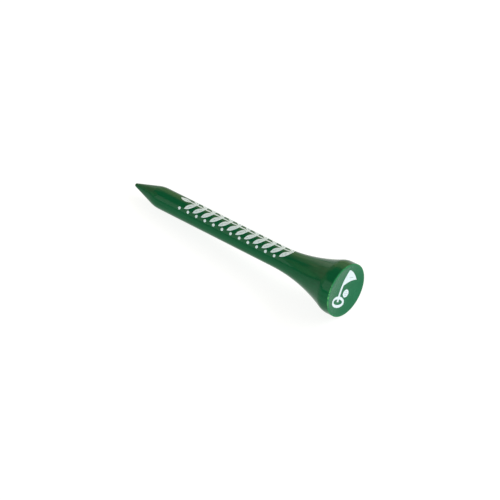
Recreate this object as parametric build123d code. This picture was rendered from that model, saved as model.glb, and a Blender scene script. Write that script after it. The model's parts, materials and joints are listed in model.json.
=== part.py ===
from build123d import *
import os
from math import atan2, cos, degrees, radians, sin, sqrt

# A turned birch golf tee, lacquered green and printed in white, lying on its side on a flat surface (Z = 0).
# Its point is towards -X and its head towards +X. It rests on its head band and on the end of its shank,
# so its axis climbs gently towards the head. The origin is under the middle of its box, on the surface.
# Every solid is first made along the X axis with the point at X = 0, and then laid down. Millimetres.

# --- driving dimensions of the finished, lacquered tee ---
LENGTH = 54.2               # a 2 1/8 inch tee, with its coat
SHANK_RADIUS = 2.26
HEAD_RADIUS = 5.45
TIP_RADIUS = 0.4            # the blunted point
POINT_HALF_ANGLE = 16.5     # degrees
CORNER_RADIUS = 7.5         # the eased corner where the point meets the shank
FLARE_START = 37.1          # from the tip of the point
FLARE_RADIUS = 36.0         # the hollow sweep from the shank out to the head
SHOULDER_RADIUS = 3.5       # the round that turns the sweep into the head band
RIM_RADIUS = 0.12           # the eased outer edge of the face
RIM_LAND = 0.25             # the flat ring that the ball sits on
CUP_DEPTH = 0.75

LACQUER = 0.08              # thickness of the coat
INK = 0.03                  # thickness of the print

# --- laurel garland printed along the shank: distances along the axis, and angles round it from the top,
# --- positive towards the front (-Y)
GARLAND_START = 41.0        # the foot of the stem, which grows from here towards the point
GARLAND_TURN = -10.0        # degrees
LEAF_PAIRS = 12
LEAF_PITCH = 2.22
LEAF_LENGTH = 2.7
LEAF_WIDTH = 1.0
LEAF_LEAN = 45.0            # between a leaf and the stem, degrees
LEAF_TURN = 26.0            # from the stem to the middle of a leaf, degrees
STEM_WIDTH = 0.34
BERRY_RADIUS = 0.3
BERRY_TURN = 58.0           # from the stem to a berry, degrees
BERRY_AHEAD = 2.0           # from the middle of a leaf to the berry before the next one

# --- flag, hole and ball printed in the cup: distances from the middle of the face
MOTIF_LEAN = 36.0           # between the pin and upright, degrees
MOTIF_SHIFT = -0.6
PIN_FOOT = -2.6
PIN_TOP = 4.0
PIN_WIDTH = 0.6
FLAG_LENGTH = 3.4
FLAG_DROP = 3.6
FLAG_WAVE = 0.35
HOLE_HALF_LENGTH = 2.1
HOLE_HALF_WIDTH = 1.1
RING_WIDTH = 0.55
BALL_RADIUS = 0.8
BALL_REACH = 1.9            # from the pin
BALL_HEIGHT = -0.8

# --- worked out from them ---
point_angle = radians(POINT_HALF_ANGLE)
corner_height = SHANK_RADIUS - CORNER_RADIUS
shank_start = TIP_RADIUS + (corner_height * cos(point_angle) + CORNER_RADIUS - TIP_RADIUS) / sin(point_angle)

flare_height = SHANK_RADIUS + FLARE_RADIUS
shoulder_height = HEAD_RADIUS - SHOULDER_RADIUS
flare_reach = sqrt((FLARE_RADIUS + SHOULDER_RADIUS) ** 2 - (flare_height - shoulder_height) ** 2)
band_start = FLARE_START + flare_reach
flare_angle = degrees(atan2(flare_reach, flare_height - shoulder_height))

cup_mouth = HEAD_RADIUS - RIM_RADIUS - RIM_LAND
cup_radius = (cup_mouth ** 2 + CUP_DEPTH ** 2) / (2 * CUP_DEPTH)
cup_centre = LENGTH - CUP_DEPTH + cup_radius

# The surface under the tee touches two rounds, the corner's and the shoulder's.
rest_span = band_start - shank_start
rest_rise = shoulder_height - corner_height
rest_step = CORNER_RADIUS - SHOULDER_RADIUS
climb = atan2(rest_rise, rest_span) - atan2(rest_step, sqrt(rest_span ** 2 + rest_rise ** 2 - rest_step ** 2))
floor_drop = SHOULDER_RADIUS + shoulder_height * cos(climb) - band_start * sin(climb)
tip_end = TIP_RADIUS * (cos(climb) - 1)
rim_end = (LENGTH - RIM_RADIUS) * cos(climb) + (HEAD_RADIUS - RIM_RADIUS) * sin(climb) + RIM_RADIUS
laid_down = Pos(-(tip_end + rim_end) / 2, 0, floor_drop) * Rot(0, -degrees(climb), 0)


def turned(depth):
    """The tee turned to `depth` below its finished surface. Every arc keeps its centre at any depth."""
    tip = CenterArc((TIP_RADIUS, 0), TIP_RADIUS - depth, 180, POINT_HALF_ANGLE - 90)
    corner = CenterArc(
        (shank_start, corner_height), CORNER_RADIUS - depth, 90 + POINT_HALF_ANGLE, -POINT_HALF_ANGLE
    )
    flare = CenterArc((FLARE_START, flare_height), FLARE_RADIUS + depth, -90, flare_angle)
    shoulder = CenterArc((band_start, shoulder_height), SHOULDER_RADIUS - depth, 90 + flare_angle, -flare_angle)
    rim = CenterArc((LENGTH - RIM_RADIUS, HEAD_RADIUS - RIM_RADIUS), RIM_RADIUS - depth, 90, -90)
    face_to_centre = cup_centre - (LENGTH - depth)
    cup_angle = degrees(atan2(sqrt((cup_radius + depth) ** 2 - face_to_centre ** 2), face_to_centre))
    cup = CenterArc((cup_centre, 0), cup_radius + depth, 180 - cup_angle, cup_angle)
    outline = [
        tip,
        Line(tip @ 1, corner @ 0),
        corner,
        Line(corner @ 1, flare @ 0),
        flare,
        shoulder,
        Line(shoulder @ 1, rim @ 0),
        rim,
        Line(rim @ 1, cup @ 0),
        cup,
        Line(cup @ 1, tip @ 0),
    ]
    return revolve(make_face(outline), Axis.X)


def leaf():
    """A pointed leaf with its middle at the origin, two equal arcs along X."""
    half = LEAF_LENGTH / 2
    one_side = ThreePointArc((-half, 0), (0, LEAF_WIDTH / 2), (half, 0))
    other_side = ThreePointArc((half, 0), (0, -LEAF_WIDTH / 2), (-half, 0))
    return make_face([one_side, other_side])


def round_shank(shape, along, turn):
    """A block that stands on a flat shape and passes out through the shank, `turn` degrees from the top."""
    return Rot(turn, 0, 0) * Pos(along, 0, 0) * extrude(shape, HEAD_RADIUS)


def garland_blocks():
    """One round-ended stem that grows towards the point and ends in a leaf, with pairs of leaves and berries."""
    stem_length = LEAF_PAIRS * LEAF_PITCH
    stem_end = GARLAND_START - stem_length
    blocks = [
        round_shank(SlotOverall(stem_length, STEM_WIDTH), stem_end + stem_length / 2, GARLAND_TURN),
        round_shank(leaf(), stem_end - LEAF_LENGTH / 3, GARLAND_TURN),
    ]
    for pair in range(LEAF_PAIRS):
        along = GARLAND_START - LEAF_PITCH * (pair + 0.5)
        for side in (-1, 1):
            leaning_leaf = Rot(0, 0, side * LEAF_LEAN) * leaf()
            blocks.append(round_shank(leaning_leaf, along, GARLAND_TURN + side * LEAF_TURN))
            berry_place = along - BERRY_AHEAD
            blocks.append(round_shank(Circle(BERRY_RADIUS), berry_place, GARLAND_TURN + side * BERRY_TURN))
    return blocks


def pennant():
    """A three-cornered flag that flies from the top of the pin, its two long edges waved alike."""
    top = Vector(0, PIN_TOP)
    low = Vector(0, PIN_TOP - FLAG_DROP)
    point = Vector(FLAG_LENGTH, PIN_TOP - FLAG_DROP / 2)
    wave = Vector(0, FLAG_WAVE)
    return make_face(
        [
            ThreePointArc(top, (top + point) / 2 + wave, point),
            ThreePointArc(point, (point + low) / 2 + wave, low),
            Line(low, top),
        ]
    )


def motif_shapes():
    """A flag on its pin, the hole that it stands in and a ball, drawn upright."""
    pin = Pos(0, (PIN_TOP + PIN_FOOT) / 2) * Rectangle(PIN_WIDTH, PIN_TOP - PIN_FOOT)
    ring = Ellipse(HOLE_HALF_LENGTH, HOLE_HALF_WIDTH)
    ring -= Ellipse(HOLE_HALF_LENGTH - RING_WIDTH, HOLE_HALF_WIDTH - RING_WIDTH)
    ball = Pos(BALL_REACH, BALL_HEIGHT) * Circle(BALL_RADIUS)
    return [pin, pennant(), Pos(0, PIN_FOOT) * ring, ball]


def motif_blocks():
    """The motif's shapes as blocks that pass out through the floor of the cup."""
    on_face = Plane.YZ * Pos(0, 0, LENGTH - 2 * CUP_DEPTH) * Rot(0, 0, -MOTIF_LEAN) * Pos(MOTIF_SHIFT, 0)
    return [on_face * extrude(shape, 4 * CUP_DEPTH) for shape in motif_shapes()]


def printed(skin, blocks):
    """The ink that the blocks cut from a skin of ink over the whole tee."""
    return skin & (Part() + blocks)


tee = turned(0)
body = turned(LACQUER)
ink_skin = turned(-INK) - tee
nodes = {
    "wooden_body": body,
    "lacquer_coat": tee - body,
    "shaft_print": printed(ink_skin, garland_blocks()),
    "cup_print": printed(ink_skin, motif_blocks()),
}

os.makedirs("parts", exist_ok=True)
for name, solid in nodes.items():
    export_step(laid_down * solid, f"parts/{name}.step")
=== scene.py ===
import json
from math import atan2, ceil, cos, hypot, pi, radians, sin, sqrt
import bpy
import numpy as np
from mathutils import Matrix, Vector, noise


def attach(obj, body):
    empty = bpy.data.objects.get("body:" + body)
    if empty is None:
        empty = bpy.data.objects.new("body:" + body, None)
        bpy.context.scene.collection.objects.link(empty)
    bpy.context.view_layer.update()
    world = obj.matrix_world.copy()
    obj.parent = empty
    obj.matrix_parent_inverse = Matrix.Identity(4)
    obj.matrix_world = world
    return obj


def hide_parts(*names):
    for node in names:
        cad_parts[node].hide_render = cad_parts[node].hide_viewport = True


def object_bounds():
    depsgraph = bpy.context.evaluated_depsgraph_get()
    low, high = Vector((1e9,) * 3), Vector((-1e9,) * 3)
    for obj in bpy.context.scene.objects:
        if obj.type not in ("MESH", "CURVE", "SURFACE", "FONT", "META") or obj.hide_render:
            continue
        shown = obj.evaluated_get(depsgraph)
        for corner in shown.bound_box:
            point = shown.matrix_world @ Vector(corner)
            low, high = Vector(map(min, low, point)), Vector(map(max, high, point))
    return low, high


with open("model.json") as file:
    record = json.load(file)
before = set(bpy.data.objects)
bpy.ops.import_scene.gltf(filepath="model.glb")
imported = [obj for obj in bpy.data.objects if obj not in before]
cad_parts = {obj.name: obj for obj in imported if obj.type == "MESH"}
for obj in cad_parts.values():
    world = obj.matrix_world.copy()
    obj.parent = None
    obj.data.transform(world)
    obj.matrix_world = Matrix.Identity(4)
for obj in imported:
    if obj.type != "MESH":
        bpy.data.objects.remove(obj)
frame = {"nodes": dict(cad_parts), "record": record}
cad_low, cad_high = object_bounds()

# A lacquered wooden golf tee on a pale studio floor. The shape functions work in millimetres in the tee's own
# terms: `along` its axis from the tip of the point, `turn` round the axis from the top towards the front, and
# `out` from the axis. place() turns those into metres in the CAD frame.
MM = 0.001

# --- the finished tee, as in the CAD model ---
LENGTH = 54.2
TIP_RADIUS = 0.4
POINT_HALF_ANGLE = radians(16.5)
CORNER_RADIUS = 7.5
FLARE_START = 37.1
FLARE_RADIUS = 36.0
SHOULDER_RADIUS = 3.5
RIM_RADIUS = 0.12
RIM_LAND = 0.25
CUP_DEPTH = 0.75
LACQUER = 0.08
INK = 0.03

# --- the printed ornament, as in the CAD model ---
GARLAND_START = 41.0
GARLAND_TURN = radians(-10)
LEAF_PAIRS = 12
LEAF_PITCH = 2.22
LEAF_LENGTH = 2.7
LEAF_WIDTH = 1.0
LEAF_LEAN = radians(45)
LEAF_TURN = radians(26)
STEM_WIDTH = 0.34
BERRY_RADIUS = 0.3
BERRY_TURN = radians(58)
BERRY_AHEAD = 2.0
MOTIF_LEAN = radians(36)
MOTIF_SHIFT = -0.6
PIN_FOOT = -2.6
PIN_TOP = 4.0
PIN_WIDTH = 0.6
FLAG_LENGTH = 3.4
FLAG_DROP = 3.6
FLAG_WAVE = 0.35
HOLE_HALF_LENGTH = 2.1
HOLE_HALF_WIDTH = 1.1
RING_WIDTH = 0.55
BALL_RADIUS = 0.8
BALL_REACH = 1.9
BALL_HEIGHT = -0.8

mounts = {mount["name"]: mount for mount in frame["record"]["mounts"]}
SHANK_RADIUS = mounts["shank"]["dims"]["r_mm"]
HEAD_RADIUS = (cad_high[1] - cad_low[1]) / 2 / MM
axis = Vector(mounts["ball_seat"]["axis"]).normalized()
front = Vector((0, -1, 0))
top = front.cross(axis)
tip_place = Vector(mounts["ball_seat"]["pos_m"]) - LENGTH * MM * axis

corner_height = SHANK_RADIUS - CORNER_RADIUS
shank_start = TIP_RADIUS + (
    corner_height * cos(POINT_HALF_ANGLE) + CORNER_RADIUS - TIP_RADIUS
) / sin(POINT_HALF_ANGLE)
flare_height = SHANK_RADIUS + FLARE_RADIUS
shoulder_height = HEAD_RADIUS - SHOULDER_RADIUS
flare_reach = sqrt((FLARE_RADIUS + SHOULDER_RADIUS) ** 2 - (flare_height - shoulder_height) ** 2)
band_start = FLARE_START + flare_reach
flare_angle = atan2(flare_reach, flare_height - shoulder_height)
cup_mouth = HEAD_RADIUS - RIM_RADIUS - RIM_LAND
cup_radius = (cup_mouth ** 2 + CUP_DEPTH ** 2) / (2 * CUP_DEPTH)
cup_centre = LENGTH - CUP_DEPTH + cup_radius


def place(along, turn, out):
    """The point in the CAD frame, in metres."""
    sideways = cos(turn) * top + sin(turn) * front
    return tip_place + MM * (float(along) * axis + float(out) * sideways)


# ---------------------------------------------------------------- camera
def add_camera():
    """The photograph's view: from the front and the head's side, well above, through a long lens. The aim is
    moved from the middle of the tee so that the tee stands where it does in the photograph."""
    azimuth = radians(40.9)
    elevation = radians(41.7)
    distance = 500 * MM
    aim_right = 2.35 * MM
    aim_down = 2.70 * MM
    middle = tip_place + LENGTH / 2 * MM * axis
    backwards = Vector((sin(azimuth) * cos(elevation), -cos(azimuth) * cos(elevation), sin(elevation)))
    turned = backwards.to_track_quat("Z", "Y")
    right = turned @ Vector((1, 0, 0))
    up = turned @ Vector((0, 1, 0))
    camera = bpy.data.objects.new("camera", bpy.data.cameras.new("camera"))
    camera.data.lens = 186
    camera.data.sensor_width = 36
    camera.data.clip_start = 0.01
    camera.rotation_mode = "QUATERNION"
    camera.rotation_quaternion = turned
    camera.location = middle + aim_right * right - aim_down * up + distance * backwards
    bpy.context.scene.collection.objects.link(camera)
    bpy.context.scene.camera = camera


# ---------------------------------------------------------------- node helpers
class Nodes:
    """A short way to write a node tree."""

    def __init__(self, tree):
        self.tree = tree
        tree.nodes.clear()

    def add(self, kind, **settings):
        node = self.tree.nodes.new(kind)
        for name, value in settings.items():
            setattr(node, name, value)
        return node

    def link(self, source, target):
        self.tree.links.new(source, target)

    def noise(self, vector, detail, roughness=0.5):
        node = self.add("ShaderNodeTexNoise")
        node.inputs["Scale"].default_value = 1.0
        node.inputs["Detail"].default_value = detail
        node.inputs["Roughness"].default_value = roughness
        self.link(vector, node.inputs["Vector"])
        return node.outputs["Fac"]

    def spread(self, value, low=0.3, high=0.7, to_low=0.0, to_high=1.0):
        """A value stretched from one span to another. Most of a noise lies between 0.3 and 0.7."""
        node = self.add("ShaderNodeMapRange", clamp=True)
        node.inputs["From Min"].default_value = low
        node.inputs["From Max"].default_value = high
        node.inputs["To Min"].default_value = to_low
        node.inputs["To Max"].default_value = to_high
        self.link(value, node.inputs["Value"])
        return node.outputs["Result"]

    def mix(self, share, first, second):
        """Two colours mixed. The node's inputs 6 and 7 and its output 2 are the ones for colours."""
        node = self.add("ShaderNodeMix", data_type="RGBA")
        for socket, value in ((node.inputs[6], first), (node.inputs[7], second)):
            if isinstance(value, tuple):
                socket.default_value = (*value, 1.0)
            else:
                self.link(value, socket)
        self.link(share, node.inputs[0])
        return node.outputs[2]

    def maths(self, operation, first, second):
        node = self.add("ShaderNodeMath", operation=operation)
        for socket, value in zip(node.inputs, (first, second)):
            if isinstance(value, (int, float)):
                socket.default_value = value
            else:
                self.link(value, socket)
        return node.outputs[0]

    def attribute(self, name):
        return self.add("ShaderNodeAttribute", attribute_name=name).outputs["Fac"]

    def bump(self, height, distance, under=None):
        node = self.add("ShaderNodeBump")
        node.inputs["Strength"].default_value = 1.0
        node.inputs["Distance"].default_value = distance
        self.link(height, node.inputs["Height"])
        if under is not None:
            self.link(under, node.inputs["Normal"])
        return node.outputs["Normal"]


def new_material(name):
    """A material, its nodes, its Principled shader and the place of each point in its object."""
    material = bpy.data.materials.new(name)
    material.use_nodes = True
    nodes = Nodes(material.node_tree)
    shader = nodes.add("ShaderNodeBsdfPrincipled")
    output = nodes.add("ShaderNodeOutputMaterial")
    nodes.link(shader.outputs[0], output.inputs["Surface"])
    coordinates = nodes.add("ShaderNodeTexCoord")
    return material, nodes, shader, coordinates.outputs["Object"]


def stretched(nodes, vector, along_scale, across_scale):
    """Places turned to the tee's axis, with a scale along it and one across it, both per millimetre."""
    turn = nodes.add("ShaderNodeMapping")
    turn.inputs["Rotation"].default_value = (0, atan2(axis.z, axis.x), 0)
    nodes.link(vector, turn.inputs["Vector"])
    size = nodes.add("ShaderNodeMapping")
    size.inputs["Scale"].default_value = (along_scale / MM, across_scale / MM, across_scale / MM)
    nodes.link(turn.outputs[0], size.inputs["Vector"])
    return size.outputs[0]


def lacquer_material():
    """Deep green gloss lacquer over birch: the grain shows through as faint long streaks. The face is satin
    and painted lighter, as if lit, though it is the same lacquer; the coat is thin and light along the rim,
    and small knocks there are lighter still, partly wear and partly painted glints."""
    material, nodes, shader, position = new_material("green_lacquer")
    grain = nodes.noise(stretched(nodes, position, 0.12, 2.2), 4.0, 0.6)
    cloud = nodes.noise(stretched(nodes, position, 0.35, 0.5), 2.0)
    deep_green = (0.0014, 0.065, 0.0220)
    fresh_green = (0.0024, 0.083, 0.0290)
    clouded_green = (0.0035, 0.094, 0.034)
    # painted light: the face's two greens are lighter than the rest of the coat, as if lit, though it is the
    # same lacquer
    painted_lit_face_deep_green = (0.012, 0.116, 0.050)
    painted_lit_face_pale_green = (0.015, 0.128, 0.057)
    thin_green = (0.018, 0.185, 0.062)
    # the knocks' green is partly worn, thinner lacquer and partly painted glints
    knock_wear_and_painted_glint_green = (0.080, 0.310, 0.100)
    most_cloud = 0.35
    glossiest = 0.11
    dullest = 0.18
    satin_face = 0.12
    grain_ripple = 0.006 * MM
    peel_ripple = 0.003 * MM
    base = nodes.mix(nodes.spread(grain), deep_green, fresh_green)
    clouded = nodes.mix(nodes.spread(cloud, 0.35, 0.75, to_high=most_cloud), base, clouded_green)
    face = nodes.attribute("face")
    # painted light: the face is coloured lighter, as if lit
    painted_lit_face_colour = nodes.mix(nodes.spread(cloud), painted_lit_face_deep_green, painted_lit_face_pale_green)
    with_painted_lit_face = nodes.mix(face, clouded, painted_lit_face_colour)
    thin = nodes.mix(nodes.attribute("thin_coat"), with_painted_lit_face, thin_green)
    # the knocks are lighter: partly wear, partly painted glints
    worn = nodes.mix(nodes.attribute("knocks"), thin, knock_wear_and_painted_glint_green)
    nodes.link(worn, shader.inputs["Base Color"])
    gloss = nodes.spread(cloud, to_low=glossiest, to_high=dullest)
    satin = nodes.maths("MULTIPLY", face, satin_face)
    nodes.link(nodes.maths("ADD", gloss, satin), shader.inputs["Roughness"])
    shader.inputs["Specular IOR Level"].default_value = 0.095
    ripple = nodes.bump(grain, grain_ripple)
    peel = nodes.noise(stretched(nodes, position, 1.6, 1.6), 2.0)
    nodes.link(nodes.bump(peel, peel_ripple, under=ripple), shader.inputs["Normal"])
    return material


def ink_material():
    """Satin white ink, a little uneven, with the green just showing through where it is thin."""
    material, nodes, shader, position = new_material("white_ink")
    cloud = nodes.noise(stretched(nodes, position, 1.5, 1.5), 3.0)
    speck = nodes.noise(stretched(nodes, position, 9.0, 9.0), 2.0)
    grey_white = (0.54, 0.62, 0.65)
    white = (0.61, 0.685, 0.72)
    green_showing = (0.26, 0.40, 0.34)
    most_showing = 0.55
    glossiest = 0.38
    dullest = 0.5
    base = nodes.mix(nodes.spread(cloud), grey_white, white)
    thin = nodes.mix(nodes.spread(speck, 0.66, 0.80, to_high=most_showing), base, green_showing)
    nodes.link(thin, shader.inputs["Base Color"])
    nodes.link(nodes.spread(cloud, to_low=glossiest, to_high=dullest), shader.inputs["Roughness"])
    shader.inputs["Specular IOR Level"].default_value = 0.3
    nodes.link(nodes.bump(speck, 0.003 * MM), shader.inputs["Normal"])
    return material


def birch_material():
    """Pale birch with its grain along the tee. The lacquer hides it."""
    material, nodes, shader, position = new_material("birch_wood")
    rings = nodes.noise(stretched(nodes, position, 0.03, 0.55), 3.0)
    fibre = nodes.noise(stretched(nodes, position, 0.25, 7.0), 4.0, 0.6)
    dark_ring = (0.56, 0.40, 0.24)
    pale_ring = (0.70, 0.54, 0.35)
    dark_fibre = (0.46, 0.31, 0.17)
    most_fibre = 0.6
    base = nodes.mix(nodes.spread(rings, 0.35, 0.65), dark_ring, pale_ring)
    streaked = nodes.mix(nodes.spread(fibre, 0.35, 0.75, to_high=most_fibre), base, dark_fibre)
    nodes.link(streaked, shader.inputs["Base Color"])
    shader.inputs["Roughness"].default_value = 0.6
    nodes.link(nodes.bump(fibre, 0.02 * MM), shader.inputs["Normal"])
    return material


# ---------------------------------------------------------------- the turned outline
def arc(centre, radius, start, sweep, gap):
    """Points round an arc with the way out of the wood at each. A negative radius makes a hollow arc."""
    size = abs(radius)
    steps = max(4, ceil(abs(sweep) * size / gap))
    angles = start + sweep * np.linspace(0, 1, steps + 1)
    rays = np.stack([np.cos(angles), np.sin(angles)], axis=1)
    return np.array(centre) + size * rays, rays * np.sign(radius)


def line(start, end, way, gap):
    """Evenly spaced points on a straight stretch, with one way out for them all."""
    steps = max(2, ceil(hypot(end[0] - start[0], end[1] - start[1]) / gap))
    points = np.linspace(start, end, steps + 1)
    return points, np.tile(way, (steps + 1, 1))


def outline(depth=0.0):
    """The tee's outline at a depth below its finished surface: (along, out) points from the tip of the
    point to the middle of the cup, and the way out of the wood at each. The last number given to each
    stretch is the widest gap between its points, in mm."""
    right = pi / 2
    tip = arc((TIP_RADIUS, 0), TIP_RADIUS - depth, pi, POINT_HALF_ANGLE - right, 0.06)
    corner = arc(
        (shank_start, corner_height), CORNER_RADIUS - depth, right + POINT_HALF_ANGLE, -POINT_HALF_ANGLE, 0.12
    )
    flare = arc((FLARE_START, flare_height), -(FLARE_RADIUS + depth), -right, flare_angle, 0.25)
    shoulder = arc(
        (band_start, shoulder_height), SHOULDER_RADIUS - depth, right + flare_angle, -flare_angle, 0.1
    )
    rim = arc((LENGTH - RIM_RADIUS, HEAD_RADIUS - RIM_RADIUS), RIM_RADIUS - depth, right, -right, 0.02)
    face_to_centre = cup_centre - (LENGTH - depth)
    cup_angle = atan2(sqrt((cup_radius + depth) ** 2 - face_to_centre ** 2), face_to_centre)
    cup = arc((cup_centre, 0), -(cup_radius + depth), pi - cup_angle, cup_angle, 0.12)
    stretches = [
        tip,
        line(tip[0][-1], corner[0][0], corner[1][0], 0.3),
        corner,
        line(corner[0][-1], flare[0][0], (0, 1), 0.3),
        flare,
        shoulder,
        line(shoulder[0][-1], rim[0][0], (0, 1), 0.12),
        rim,
        line(rim[0][-1], cup[0][0], (1, 0), 0.07),
        cup,
    ]
    points = [stretches[0][0]] + [stretch[0][1:] for stretch in stretches[1:]]
    ways = [stretches[0][1]] + [stretch[1][1:] for stretch in stretches[1:]]
    return np.concatenate(points), np.concatenate(ways)


# ---------------------------------------------------------------- the lacquer's own relief
# Knocks in the rim: real dents, coloured lighter as partly wear and partly painted glints.
RIM_KNOCKS = 11
KNOCKS_FROM = radians(44)   # round the rim, from the top towards the front
KNOCKS_TO = radians(98)
KNOCK_STEPS = (0.15, 0.85)  # each knock lies in this part of its own share of the rim
KNOCK_SIZES = (0.12, 0.26)
KNOCK_DEPTHS = (0.012, 0.035)
KNOCK_REACH = 0.5           # knocks are worked out only this near the middle of the rim's round
KNOCK_CONTRAST = 1.6
THIN_REACH = 0.24           # the thinning ends this far from the middle of the rim's round
THIN_EVEN = 0.75            # the part of the thinning that is the same all round
THIN_UNEVEN = 0.9           # the part that comes and goes
THIN_SCALE = 5.0            # how fine its waves round the rim are
THIN_APART = 41.0           # sets its noise apart from the relief's
THIN_CONTRAST = 1.5

# Each wave of the relief: its height, its scale along and across the tee, and a number that sets it apart.
SAGS = (0.004, 0.16, 0.35, 3.0)
GRAIN = (0.0022, 0.09, 1.6, 11.0)
RINGS = (0.0022, 1.3, 0.05, 23.0)
RELIEF_SINK = 0.006         # lowers the relief, so that none of it stands past the CAD surface

knock_random = np.random.default_rng(7)
knock_steps = (np.arange(RIM_KNOCKS) + knock_random.uniform(*KNOCK_STEPS, RIM_KNOCKS)) / RIM_KNOCKS
knock_turns = KNOCKS_FROM + (KNOCKS_TO - KNOCKS_FROM) * knock_steps
knock_sizes = knock_random.uniform(*KNOCK_SIZES, RIM_KNOCKS)
knock_depths = knock_random.uniform(*KNOCK_DEPTHS, RIM_KNOCKS)
# the middle of the rim's round
rim_along = LENGTH - RIM_RADIUS * (1 - sqrt(0.5))
rim_out = HEAD_RADIUS - RIM_RADIUS * (1 - sqrt(0.5))


def knock(along, turn, out):
    """How strongly a knock in the rim shows at a point, from 0 to 1, as a lighter colour that is partly wear
    and partly painted glints, and how deep it is there.
    """
    shows = 0.0
    depth = 0.0
    if hypot(along - rim_along, out - rim_out) < KNOCK_REACH:
        for knock_turn, size, deepest in zip(knock_turns, knock_sizes, knock_depths):
            away = hypot((turn - knock_turn) * HEAD_RADIUS, along - rim_along, out - rim_out) / size
            reach = max(0.0, 1 - away * away) ** 2
            shows = max(shows, min(1.0, KNOCK_CONTRAST * reach))
            depth = max(depth, deepest * reach)
    return shows, depth


def thin_coat(along, turn, out):
    """How thin the coat is, from 0 to 1: it draws away from the sharp rim, more in some places than
    in others."""
    near = max(0.0, 1 - hypot(along - rim_along, out - rim_out) / THIN_REACH)
    wave = noise.noise(Vector((THIN_SCALE * cos(turn), THIN_SCALE * sin(turn), THIN_APART)))
    uneven = THIN_EVEN + THIN_UNEVEN * wave
    return min(1.0, max(0.0, THIN_CONTRAST * near * uneven))


def relief(along, turn, out):
    """How far the lacquer stands off its nominal surface, in mm: its sags, the grain below it and the
    lathe's rings."""
    across = abs(turn) * out
    height = 0.0
    for most, along_scale, across_scale, apart in (SAGS, GRAIN, RINGS):
        height += most * noise.noise(Vector((along * along_scale, across * across_scale, apart)))
    return height - RELIEF_SINK


# ---------------------------------------------------------------- meshes
def mesh_piece(name, points, faces, material, node):
    """A smooth mesh in the CAD frame that stands for a CAD node."""
    mesh = bpy.data.meshes.new(name)
    mesh.from_pydata([tuple(point) for point in points], [], faces)
    mesh.validate()
    mesh.polygons.foreach_set("use_smooth", [True] * len(mesh.polygons))
    mesh.materials.append(material)
    piece = bpy.data.objects.new(name, mesh)
    bpy.context.scene.collection.objects.link(piece)
    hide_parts(node)
    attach(piece, "root")
    return piece


def lathe(stations, around, first, surface):
    """Points and faces of a closed turned surface. The first and last stations are on the axis."""
    points = [surface(stations[0], 0.0)]
    for station in stations[1:-1]:
        points += [surface(station, 2 * pi * k / around) for k in range(around)]
    points.append(surface(stations[-1], 0.0))
    rings = len(stations) - 2
    last = first + len(points) - 1
    faces = []
    for k in range(around):
        after = (k + 1) % around
        faces.append((first, first + 1 + after, first + 1 + k))
        for ring in range(rings - 1):
            here = first + 1 + ring * around
            there = here + around
            faces.append((here + k, here + after, there + after, there + k))
        here = first + 1 + (rings - 1) * around
        faces.append((here + k, here + after, last))
    return points, faces


LACQUER_AROUND = 256        # points round each ring of the skin's outside
WOOD_AROUND = 64            # and of its inside, against the wood
WOOD_STRIDE = 3             # the hidden inside keeps one outline point in three


def add_lacquer(material):
    """The lacquer: a closed skin with its relief and knocked rim outside, and the wood's plain shape inside.
    Its marks also carry the rim's painted glints and the face's painted lighter colour.
    """
    outside = list(zip(*outline(0.0)))
    inside = list(zip(*outline(LACQUER)))[::WOOD_STRIDE]
    inside[-1] = (np.array((LENGTH - CUP_DEPTH - LACQUER, 0.0)), np.array((1.0, 0.0)))
    marks = {"knocks": [], "thin_coat": [], "face": []}

    def outer(station, turn):
        (along, out), (way_along, way_out) = station
        signed_turn = turn if turn < pi else turn - 2 * pi
        shows, depth = knock(along, signed_turn, out)
        marks["knocks"].append(shows)
        marks["thin_coat"].append(thin_coat(along, turn, out))
        # The face is whatever looks along the axis past the start of the head band; its mark makes the face
        # satin and paints it lighter, as if lit.
        marks["face"].append(float(way_along) if along > band_start else 0.0)
        height = relief(along, signed_turn, out) - depth
        return place(along + height * way_along, turn, out + height * way_out)

    def inner(station, turn):
        (along, out), _ = station
        return place(along, turn, out)

    points, faces = lathe(outside, LACQUER_AROUND, 0, outer)
    inner_points, inner_faces = lathe(inside, WOOD_AROUND, len(points), inner)
    faces += [face[::-1] for face in inner_faces]
    piece = mesh_piece("lacquer", points + inner_points, faces, material, "lacquer_coat")
    for name, values in marks.items():
        attribute = piece.data.attributes.new(name, "FLOAT", "POINT")
        attribute.data.foreach_set("value", values + [0.0] * len(inner_points))


# ---------------------------------------------------------------- the printed ornament
# Each shape is a field: the distance from its edge in mm, negative inside, for arrays of points on the flat.
VEIN_WIDTH = 0.05
VEIN_LENGTH = 0.62          # of the leaf's length
STRIPE_MIDDLE = 0.42        # of the flag's length, from the pin
STRIPE_HALF_LENGTH = 0.2    # of the flag's length
DIMPLE_RING = 0.5           # of the ball's radius
DIMPLE_RADIUS = 0.09        # of the ball's radius
EDGE_SLOPE = 0.07           # the ink thins over this distance from its edge
EDGE_HEIGHT = 0.35 * INK    # the ink's thickness at its very edge
RAGGED = 0.012              # how far the edge of the ink wanders
SUNK = -0.012               # the underside of the ink, just inside the lacquer's surface
GARLAND_FROM = radians(-84)
GARLAND_TO = radians(64)
GARLAND_GRID = (118, 640)   # points round the shank and along it
MOTIF_GRID = (150, 200)     # points across the upright motif and up it
MOTIF_MARGIN = 0.3          # of the grid, round the motif


def disc(x, y, radius):
    return np.hypot(x, y) - radius


def block(x, y, half_length, half_width):
    return np.maximum(np.abs(x) - half_length, np.abs(y) - half_width)


def round_bar(x, y, half_length, radius):
    """A bar along x with round ends."""
    return np.hypot(np.maximum(np.abs(x) - half_length + radius, 0.0), y) - radius


def oval(x, y, half_length, half_width):
    inner = np.hypot(x / half_length, y / half_width)
    steep = np.hypot(x / half_length ** 2, y / half_width ** 2)
    return inner * (inner - 1) / np.maximum(steep, 1e-6)


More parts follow.
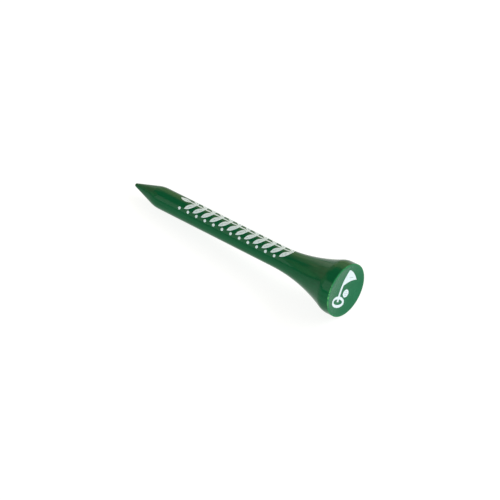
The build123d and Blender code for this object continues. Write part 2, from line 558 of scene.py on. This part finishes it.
def leaf(x, y):
    """A pointed leaf along x, two equal arcs, with a fine unprinted vein."""
    half = LEAF_LENGTH / 2
    radius = (half ** 2 + (LEAF_WIDTH / 2) ** 2) / LEAF_WIDTH
    offset = radius - LEAF_WIDTH / 2
    blade = np.maximum(disc(x, y - offset, radius), disc(x, y + offset, radius))
    vein = block(x, y, VEIN_LENGTH * half, VEIN_WIDTH / 2)
    return np.maximum(blade, -vein)


def garland(turn, along):
    """One stem that grows towards the point and ends in a leaf, with pairs of leaves and berries along it."""
    out = shank_out(along)
    stem_length = LEAF_PAIRS * LEAF_PITCH
    stem_end = GARLAND_START - stem_length
    across = out * np.sin(turn - GARLAND_TURN)
    stem = round_bar(along - stem_end - stem_length / 2, across, stem_length / 2, STEM_WIDTH / 2)
    field = np.minimum(stem, leaf(along - stem_end + LEAF_LENGTH / 3, across))
    for pair in range(LEAF_PAIRS):
        ahead = GARLAND_START - LEAF_PITCH * (pair + 0.5) - along
        for side in (-1, 1):
            across = side * out * np.sin(turn - GARLAND_TURN - side * LEAF_TURN)
            leaf_x = ahead * cos(LEAF_LEAN) + across * sin(LEAF_LEAN)
            leaf_y = across * cos(LEAF_LEAN) - ahead * sin(LEAF_LEAN)
            berry_across = out * np.sin(turn - GARLAND_TURN - side * BERRY_TURN)
            berry = disc(ahead - BERRY_AHEAD, berry_across, BERRY_RADIUS)
            field = np.minimum(field, np.minimum(leaf(leaf_x, leaf_y), berry))
    return field


def pennant(x, y):
    """A three-cornered flag that flies from the top of the pin in one wave, with a fine unprinted line
    along its middle."""
    share = x / FLAG_LENGTH
    middle = PIN_TOP - FLAG_DROP / 2 + 4 * FLAG_WAVE * share * (1 - share)
    taper = FLAG_DROP / 2 * (1 - share)
    flag = np.maximum((np.abs(y - middle) - taper) * cos(atan2(FLAG_DROP / 2, FLAG_LENGTH)), -x)
    stripe_x = x - STRIPE_MIDDLE * FLAG_LENGTH
    stripe = block(stripe_x, y - middle, STRIPE_HALF_LENGTH * FLAG_LENGTH, VEIN_WIDTH / 2)
    return np.maximum(flag, -stripe)


def ball(x, y):
    """A ball with seven unprinted dimples, one in the middle and six round it."""
    field = disc(x, y, BALL_RADIUS)
    reach = DIMPLE_RING * BALL_RADIUS
    dimples = [(0.0, 0.0)]
    dimples += [(reach * cos(k * pi / 3), reach * sin(k * pi / 3)) for k in range(6)]
    for dimple_x, dimple_y in dimples:
        field = np.maximum(field, -disc(x - dimple_x, y - dimple_y, DIMPLE_RADIUS * BALL_RADIUS))
    return field


def motif(x, y):
    """A flag on its pin, the hole that it stands in and a ball, drawn upright."""
    pin = block(x, y - (PIN_TOP + PIN_FOOT) / 2, PIN_WIDTH / 2, (PIN_TOP - PIN_FOOT) / 2)
    hole_y = y - PIN_FOOT
    outer = oval(x, hole_y, HOLE_HALF_LENGTH, HOLE_HALF_WIDTH)
    inner = oval(x, hole_y, HOLE_HALF_LENGTH - RING_WIDTH, HOLE_HALF_WIDTH - RING_WIDTH)
    ring = np.maximum(outer, -inner)
    field = np.minimum(np.minimum(pin, ring), pennant(x, y))
    return np.minimum(field, ball(x - BALL_REACH, y - BALL_HEIGHT))


def shank_out(along):
    """The tee's radius along the shank and the start of the flare."""
    reach = np.maximum(0.0, along - FLARE_START)
    return flare_height - np.sqrt(FLARE_RADIUS ** 2 - reach ** 2)


def on_shank(turn, along, height):
    """A point at a height over the lacquer on the shank."""
    out = shank_out(along)
    return place(along, turn, out + relief(along, turn, out) + height)


def on_cup(x, y, height):
    """A point at a height over the lacquer in the cup, for x and y in the motif's upright drawing."""
    back = (x + MOTIF_SHIFT) * cos(MOTIF_LEAN) + y * sin(MOTIF_LEAN)
    up = y * cos(MOTIF_LEAN) - (x + MOTIF_SHIFT) * sin(MOTIF_LEAN)
    out = hypot(back, up)
    turn = atan2(-back, up)
    fall = sqrt(cup_radius ** 2 - out ** 2)
    along = cup_centre - fall
    stand = height + relief(along, turn, out)
    return place(along + stand * fall / cup_radius, turn, out * (1 - stand / cup_radius))


def contour(field, xs, ys):
    """Points (x, y, field) and faces of the part of a grid where the field is negative, cut along the
    edge of that part."""
    grid_x, grid_y = np.meshgrid(xs, ys, indexing="ij")
    values = field(grid_x, grid_y)
    inside = values < 0
    points = []
    numbers = {}

    def number(key, point):
        if key not in numbers:
            numbers[key] = len(points)
            points.append(point)
        return numbers[key]

    def corner(at):
        return number(at, (xs[at[0]], ys[at[1]], values[at]))

    def cut(start, end):
        if end < start:
            start, end = end, start
        share = values[start] / (values[start] - values[end])
        x = xs[start[0]] + share * (xs[end[0]] - xs[start[0]])
        y = ys[start[1]] + share * (ys[end[1]] - ys[start[1]])
        return number((start, end), (x, y, 0.0))

    faces = []
    touched = inside[:-1, :-1] | inside[1:, :-1] | inside[1:, 1:] | inside[:-1, 1:]
    for i, j in zip(*(index.tolist() for index in np.nonzero(touched))):
        corners = [(i, j), (i + 1, j), (i + 1, j + 1), (i, j + 1)]
        loop = []
        for start, end in zip(corners, corners[1:] + corners[:1]):
            if inside[start]:
                loop.append(corner(start))
            if inside[start] != inside[end]:
                loop.append(cut(start, end))
        faces.append(loop)
    return points, faces


def add_print(name, field, xs, ys, surface, material, node):
    """A printed layer: full thickness inside its shapes, thinner at their slightly ragged edges, and
    sunk a little into the lacquer."""

    def ragged(x, y):
        waves = np.sin(7.3 * x + 2.1 * np.sin(5.1 * y)) * np.sin(8.9 * y + 1.7 * np.sin(6.3 * x))
        return field(x, y) + RAGGED * waves

    points, faces = contour(ragged, xs, ys)
    upper = []
    lower = []
    for x, y, distance in points:
        share = min(1.0, -distance / EDGE_SLOPE)
        height = EDGE_HEIGHT + (INK - EDGE_HEIGHT) * share * share * (3 - 2 * share)
        upper.append(surface(x, y, height))
        lower.append(surface(x, y, SUNK))
    count = len(points)
    edges = {(a, b) for face in faces for a, b in zip(face, face[1:] + face[:1])}
    walls = [(b, a, a + count, b + count) for a, b in sorted(edges) if (b, a) not in edges]
    soles = [[index + count for index in reversed(face)] for face in faces]
    mesh_piece(name, upper + lower, faces + soles + walls, material, node)


def add_shaft_ornament(material):
    """The garland along the shank, on a grid that reaches past it all round."""
    turns = np.linspace(GARLAND_FROM, GARLAND_TO, GARLAND_GRID[0])
    reach = LEAF_PAIRS * LEAF_PITCH + LEAF_LENGTH
    alongs = np.linspace(GARLAND_START - reach, GARLAND_START + 1, GARLAND_GRID[1])
    add_print("shaft_ornament", garland, turns, alongs, on_shank, material, "shaft_print")


def add_cup_ornament(material):
    """The flag, hole and ball in the cup, on a grid that reaches past them all round."""
    left = -HOLE_HALF_LENGTH - MOTIF_MARGIN
    right = FLAG_LENGTH + MOTIF_MARGIN
    low = PIN_FOOT - HOLE_HALF_WIDTH - MOTIF_MARGIN
    high = PIN_TOP + FLAG_WAVE + MOTIF_MARGIN
    xs = np.linspace(left, right, MOTIF_GRID[0])
    ys = np.linspace(low, high, MOTIF_GRID[1])
    add_print("cup_ornament", motif, xs, ys, on_cup, material, "cup_print")


# ---------------------------------------------------------------- floor and light
def add_floor():
    """A plain floor that is white mostly by its own glow, so that the tee's shadow stays faint."""
    reach = 2.0
    grey = 0.25
    glow = 0.84
    corners = [(-reach, -reach, 0), (reach, -reach, 0), (reach, reach, 0), (-reach, reach, 0)]
    mesh = bpy.data.meshes.new("floor")
    mesh.from_pydata(corners, [], [(0, 1, 2, 3)])
    floor = bpy.data.objects.new("floor", mesh)
    bpy.context.scene.collection.objects.link(floor)
    material = bpy.data.materials.new("floor")
    material.use_nodes = True
    shader = material.node_tree.nodes["Principled BSDF"]
    shader.inputs["Base Color"].default_value = (grey, grey, grey, 1)
    shader.inputs["Emission Color"].default_value = (1, 1, 1, 1)
    shader.inputs["Emission Strength"].default_value = glow
    shader.inputs["Roughness"].default_value = 1.0
    shader.inputs["Specular IOR Level"].default_value = 0.0
    mesh.materials.append(material)


def softbox(name, azimuth, elevation, distance, width, height, strength, colour):
    """A soft lamp aimed at the tee. Azimuth 0 is the front, and the strength is the lamp's brightness,
    whatever its size."""
    lamp = bpy.data.lights.new(name, "AREA")
    lamp.shape = "RECTANGLE"
    lamp.size = width
    lamp.size_y = height
    lamp.energy = strength * pi * width * height
    lamp.color = colour
    way = Vector((sin(azimuth) * cos(elevation), -cos(azimuth) * cos(elevation), sin(elevation)))
    box = bpy.data.objects.new(name, lamp)
    box.rotation_mode = "QUATERNION"
    box.rotation_quaternion = way.to_track_quat("Z", "Y")
    box.location = distance * way
    bpy.context.scene.collection.objects.link(box)
    return box


def add_light():
    """Soft boxes round the tee in a dim room: two bright ones behind it, the brightest before its head,
    and dimmer tinted ones to its left and behind, which give the coat its warm and green reflections."""
    world = bpy.data.worlds.new("room")
    world.use_nodes = True
    world.node_tree.nodes["Background"].inputs["Color"].default_value = (1.0, 0.97, 0.95, 1)
    world.node_tree.nodes["Background"].inputs["Strength"].default_value = 0.25
    bpy.context.scene.world = world
    white = (0.97, 1.0, 1.0)
    warm = (1.0, 0.95, 0.75)
    amber = (1.0, 0.7, 0.45)
    distance = 0.9
    # name, azimuth and elevation in degrees, width and height in metres, brightness, colour
    lamps = [
        ("behind_right", 125, 35, 0.6, 0.45, 3.9, white),
        ("behind", 165, 35, 0.6, 0.45, 3.8, white),
        ("before_head", 50, 12, 0.6, 0.36, 8.3, white),
        ("left", -38, 24, 0.42, 0.5, 2.6, (0.9, 1.0, 0.85)),
        ("left_side", -66, 22, 0.31, 0.5, 1.3, (0.65, 1.0, 0.4)),
        ("far_left", -94, 15, 0.5, 0.38, 0.9, amber),
        ("far_left_high", -112, 35, 0.36, 0.4, 1.0, amber),
        ("behind_left", -124, 12, 0.38, 0.28, 1.3, warm),
        ("behind_left_high", -140, 33, 0.45, 0.42, 1.9, (1.0, 0.92, 0.45)),
        ("behind_left_low", -147, 9, 0.3, 0.28, 1.1, (1.0, 0.8, 0.4)),
    ]
    boxes = {}
    for name, azimuth, elevation, width, height, strength, colour in lamps:
        boxes[name] = softbox(
            name, radians(azimuth), radians(elevation), distance, width, height, strength, colour
        )
    # From behind the tee, this lamp's reflection would burn out the edge of the flare.
    boxes["before_head"].visible_glossy = False


bpy.context.scene.view_settings.view_transform = "Standard"
add_camera()
add_floor()
add_light()
frame["nodes"]["wooden_body"].material_slots[0].material = birch_material()
add_lacquer(lacquer_material())
ink = ink_material()
add_shaft_ornament(ink)
add_cup_ornament(ink)
